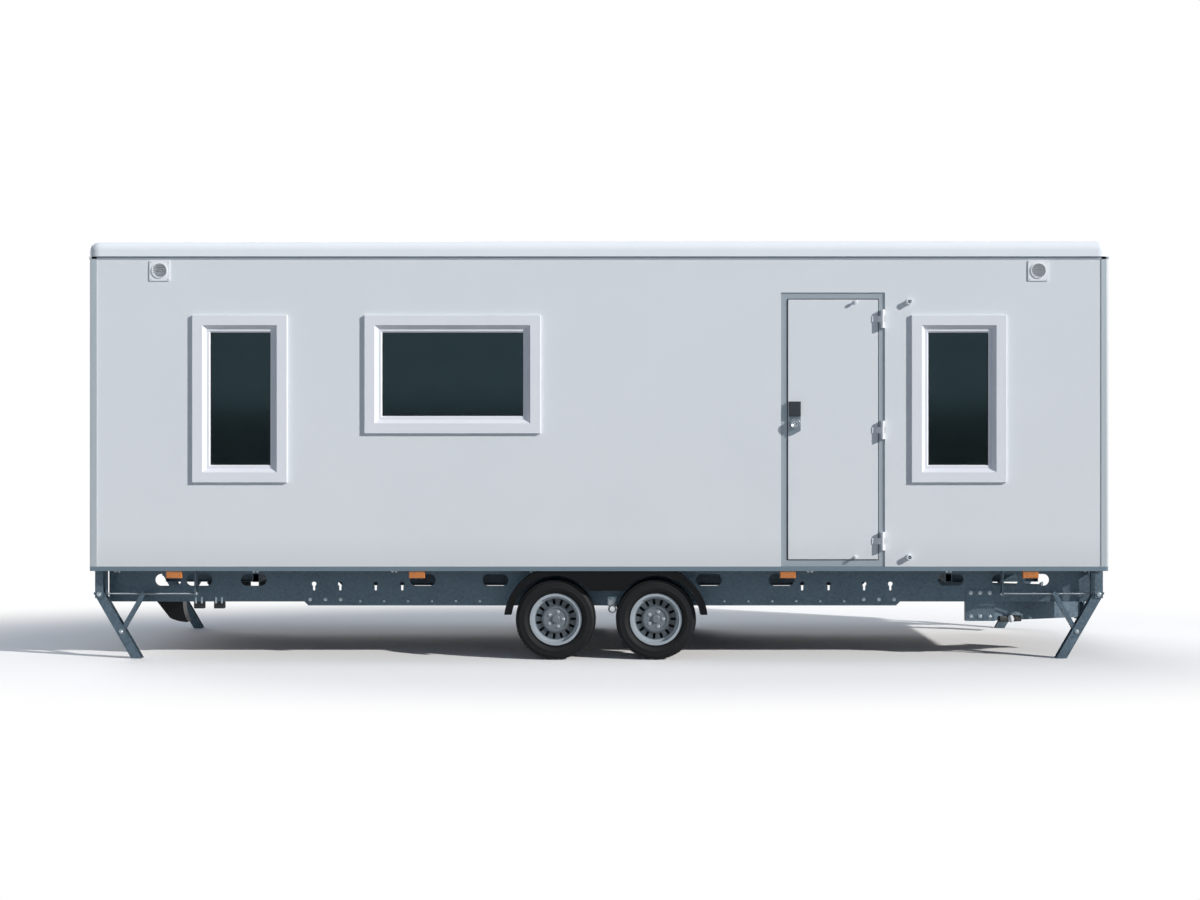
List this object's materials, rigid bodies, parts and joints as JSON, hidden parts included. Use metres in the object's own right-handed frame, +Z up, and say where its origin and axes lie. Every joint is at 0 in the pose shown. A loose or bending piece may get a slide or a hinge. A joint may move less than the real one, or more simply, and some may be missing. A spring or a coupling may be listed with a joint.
{
  "type": "portable site cabin",
  "caption": "Box-shaped sandwich-panel site cabin with a hinged door and framed windows, on a road chassis with tandem wheels, mudguards and fold-up corner steadies.",
  "frame": {"origin": "middle of the cabin on the ground it stands on", "axes": "+X along the long side towards the drawbar end, -Y out of the door side, +Z up"},
  "size_m": [7.54, 2.577, 3.096],
  "materials": {
    "white_panel": "coated steel skin of a sandwich panel",
    "white_roof": "coated sheet",
    "floor_board": "phenolic-faced plywood",
    "aluminium_profile": "anodised",
    "white_pvc": "extruded PVC",
    "white_plastic": "moulded",
    "window_glass": "sealed double glazing",
    "lock_black": "satin",
    "lock_metal": "satin",
    "galvanised_steel": "hot-dip galvanised",
    "wheel_steel": "silver lacquer",
    "tyre": "rubber",
    "black_plastic": "moulded",
    "amber_lens": "clear amber"
  },
  "bodies": {
    "cabin": {"air_vents": "white_plastic", "back_mudguard": "black_plastic", "back_side_rail": "galvanised_steel", "back_wall": "white_panel", "back_window_frame": "white_pvc", "base_rail": "aluminium_profile", "corner_posts": "aluminium_profile", "cross_members": "galvanised_steel", "door_head": "aluminium_profile", "door_hinges": "white_plastic", "door_jambs": "aluminium_profile", "door_threshold": "aluminium_profile", "drawbar_arms": "galvanised_steel", "floor_panel": "floor_board", "front_mudguard": "black_plastic", "front_side_rail": "galvanised_steel", "front_wall_left": "white_panel", "front_wall_over_door": "white_panel", "front_wall_right": "white_panel", "left_axle": "galvanised_steel", "left_end_wall": "white_panel", "left_window_frame": "white_pvc", "retainer_cups": "white_plastic", "right_axle": "galvanised_steel", "right_end_wall": "white_panel", "right_window_frame": "white_pvc", "roof_edge": "white_roof", "roof_panel": "white_roof", "side_marker_lamps": "amber_lens", "steady_brackets": "galvanised_steel", "steady_spindles": "galvanised_steel", "wheel_chocks": "black_plastic", "wide_window_frame": "white_pvc", "window_panes": "window_glass", "window_sashes": "white_pvc"},
    "door": {"door_hinge_straps": "white_plastic", "door_knob": "lock_metal", "door_leaf": "white_panel", "lock_case": "lock_black", "lock_plate": "lock_metal", "retainer_pins": "white_plastic"},
    "front_left_wheel": {"front_left_tyre": "tyre", "front_left_rim": "wheel_steel"},
    "front_left_leg": {"front_left_steady_leg": "galvanised_steel"},
    "front_left_brace": {"front_left_steady_brace": "galvanised_steel"},
    "front_right_wheel": {"front_right_tyre": "tyre", "front_right_rim": "wheel_steel"},
    "front_right_leg": {"front_right_steady_leg": "galvanised_steel"},
    "front_right_brace": {"front_right_steady_brace": "galvanised_steel"},
    "back_left_wheel": {"back_left_tyre": "tyre", "back_left_rim": "wheel_steel"},
    "back_left_leg": {"back_left_steady_leg": "galvanised_steel"},
    "back_left_brace": {"back_left_steady_brace": "galvanised_steel"},
    "back_right_wheel": {"back_right_tyre": "tyre", "back_right_rim": "wheel_steel"},
    "back_right_leg": {"back_right_steady_leg": "galvanised_steel"},
    "back_right_brace": {"back_right_steady_brace": "galvanised_steel"}
  },
  "joints": [
    {"name": "door_swing", "type": "hinge", "parent": "cabin", "child": "door", "pos_m": [2.086, -1.28, 1.7], "axis": [0, 0, 1], "range_deg": [0, 180]},
    {"name": "front_left_wheel_spin", "type": "hinge", "parent": "cabin", "child": "front_left_wheel", "pos_m": [-0.32, -1.1225, 0.298], "axis": [0, 1, 0], "continuous": true},
    {"name": "front_left_steady_fold", "type": "hinge", "parent": "cabin", "child": "front_left_leg", "pos_m": [-3.715, -1.085, 0.48], "axis": [0, -1, 0], "range_deg": [0, 56]},
    {"name": "front_left_steady_brace_turn", "type": "hinge", "parent": "front_left_leg", "child": "front_left_brace", "pos_m": [-3.55427, -1.085, 0.2016], "axis": [0, -1, 0], "range_deg": [-112, 0]},
    {"name": "front_right_wheel_spin", "type": "hinge", "parent": "cabin", "child": "front_right_wheel", "pos_m": [0.422, -1.1225, 0.298], "axis": [0, 1, 0], "continuous": true},
    {"name": "front_right_steady_fold", "type": "hinge", "parent": "cabin", "child": "front_right_leg", "pos_m": [3.715, -1.085, 0.48], "axis": [0, 1, 0], "range_deg": [0, 56]},
    {"name": "front_right_steady_brace_turn", "type": "hinge", "parent": "front_right_leg", "child": "front_right_brace", "pos_m": [3.55427, -1.085, 0.2016], "axis": [0, 1, 0], "range_deg": [-112, 0]},
    {"name": "back_left_wheel_spin", "type": "hinge", "parent": "cabin", "child": "back_left_wheel", "pos_m": [-0.32, 1.1225, 0.298], "axis": [0, 1, 0], "continuous": true},
    {"name": "back_left_steady_fold", "type": "hinge", "parent": "cabin", "child": "back_left_leg", "pos_m": [-3.715, 1.085, 0.48], "axis": [0, -1, 0], "range_deg": [0, 56]},
    {"name": "back_left_steady_brace_turn", "type": "hinge", "parent": "back_left_leg", "child": "back_left_brace", "pos_m": [-3.55427, 1.085, 0.2016], "axis": [0, -1, 0], "range_deg": [-112, 0]},
    {"name": "back_right_wheel_spin", "type": "hinge", "parent": "cabin", "child": "back_right_wheel", "pos_m": [0.422, 1.1225, 0.298], "axis": [0, 1, 0], "continuous": true},
    {"name": "back_right_steady_fold", "type": "hinge", "parent": "cabin", "child": "back_right_leg", "pos_m": [3.715, 1.085, 0.48], "axis": [0, 1, 0], "range_deg": [0, 56]},
    {"name": "back_right_steady_brace_turn", "type": "hinge", "parent": "back_right_leg", "child": "back_right_brace", "pos_m": [3.55427, 1.085, 0.2016], "axis": [0, 1, 0], "range_deg": [-112, 0]}
  ],
  "couplings": [
    {"joint": "front_left_steady_brace_turn", "follows": "front_left_steady_fold", "ratio": -2},
    {"joint": "front_right_steady_brace_turn", "follows": "front_right_steady_fold", "ratio": -2},
    {"joint": "back_left_steady_brace_turn", "follows": "back_left_steady_fold", "ratio": -2},
    {"joint": "back_right_steady_brace_turn", "follows": "back_right_steady_fold", "ratio": -2}
  ]
}
